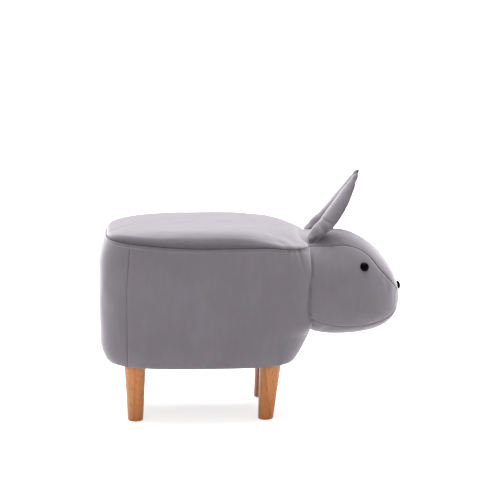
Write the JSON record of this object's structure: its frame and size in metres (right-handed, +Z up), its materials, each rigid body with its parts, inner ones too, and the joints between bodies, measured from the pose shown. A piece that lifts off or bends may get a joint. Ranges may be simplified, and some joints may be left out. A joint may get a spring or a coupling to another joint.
{
  "type": "animal footstool",
  "caption": "Upholstered rabbit-shaped footstool: padded velvet body as the seat, stuffed head with soft ears, tapered wooden legs.",
  "frame": {"origin": "on the floor, under the middle of the whole stool's box", "axes": "+X towards the head, +Y to the animal's left, +Z up"},
  "size_m": [0.5999, 0.28, 0.4853],
  "materials": {
    "grey_velvet": "matte",
    "fibre_filling": "matte",
    "foam": "matte",
    "pine": "matte",
    "plywood": "matte",
    "hardboard": "matte",
    "beech": "satin",
    "black_lining": "matte",
    "zinc_steel": "satin",
    "clear_washer_plastic": "matte",
    "black_plastic": "gloss"
  },
  "bodies": {
    "stool": {"base_board": "plywood", "base_screw_front_left": "zinc_steel", "base_screw_front_right": "zinc_steel", "base_screw_rear_left": "zinc_steel", "base_screw_rear_right": "zinc_steel", "dust_cover": "black_lining", "eye_left": "black_plastic", "eye_left_washer": "clear_washer_plastic", "eye_right": "black_plastic", "eye_right_washer": "clear_washer_plastic", "flank_panel_left": "grey_velvet", "flank_panel_right": "grey_velvet", "head_chin_panel": "grey_velvet", "head_crown_panel": "grey_velvet", "head_filling": "fibre_filling", "head_side_left": "grey_velvet", "head_side_right": "grey_velvet", "leg_bolt_front_left": "zinc_steel", "leg_bolt_front_right": "zinc_steel", "leg_bolt_rear_left": "zinc_steel", "leg_bolt_rear_right": "zinc_steel", "leg_front_left": "beech", "leg_front_right": "beech", "leg_rear_left": "beech", "leg_rear_right": "beech", "nose": "black_plastic", "nose_washer": "clear_washer_plastic", "post_front_left": "pine", "post_front_right": "pine", "post_rear_left": "pine", "post_rear_right": "pine", "rear_panel": "grey_velvet", "seat_foam": "foam", "seat_panel": "grey_velvet", "shell_board_left": "hardboard", "shell_board_right": "hardboard", "tee_nut_front_left": "zinc_steel", "tee_nut_front_right": "zinc_steel", "tee_nut_rear_left": "zinc_steel", "tee_nut_rear_right": "zinc_steel", "top_board": "plywood", "top_screw_front_left": "zinc_steel", "top_screw_front_right": "zinc_steel", "top_screw_rear_left": "zinc_steel", "top_screw_rear_right": "zinc_steel", "wall_foam": "foam"},
    "ear_left": {"ear_back_panel_left": "grey_velvet", "ear_front_panel_left": "grey_velvet", "ear_wadding_left": "fibre_filling"},
    "ear_right": {"ear_back_panel_right": "grey_velvet", "ear_front_panel_right": "grey_velvet", "ear_wadding_right": "fibre_filling"}
  },
  "joints": [
    {"name": "ear_left_bend", "type": "hinge", "parent": "stool", "child": "ear_left", "pos_m": [0.129, 0.042, 0.35696], "axis": [0, 1, 0], "range_deg": [-25, 8], "stiffness_Nm_per_rad": 0.6},
    {"name": "ear_right_bend", "type": "hinge", "parent": "stool", "child": "ear_right", "pos_m": [0.129, -0.042, 0.35696], "axis": [0, 1, 0], "range_deg": [-25, 8], "stiffness_Nm_per_rad": 0.6}
  ]
}
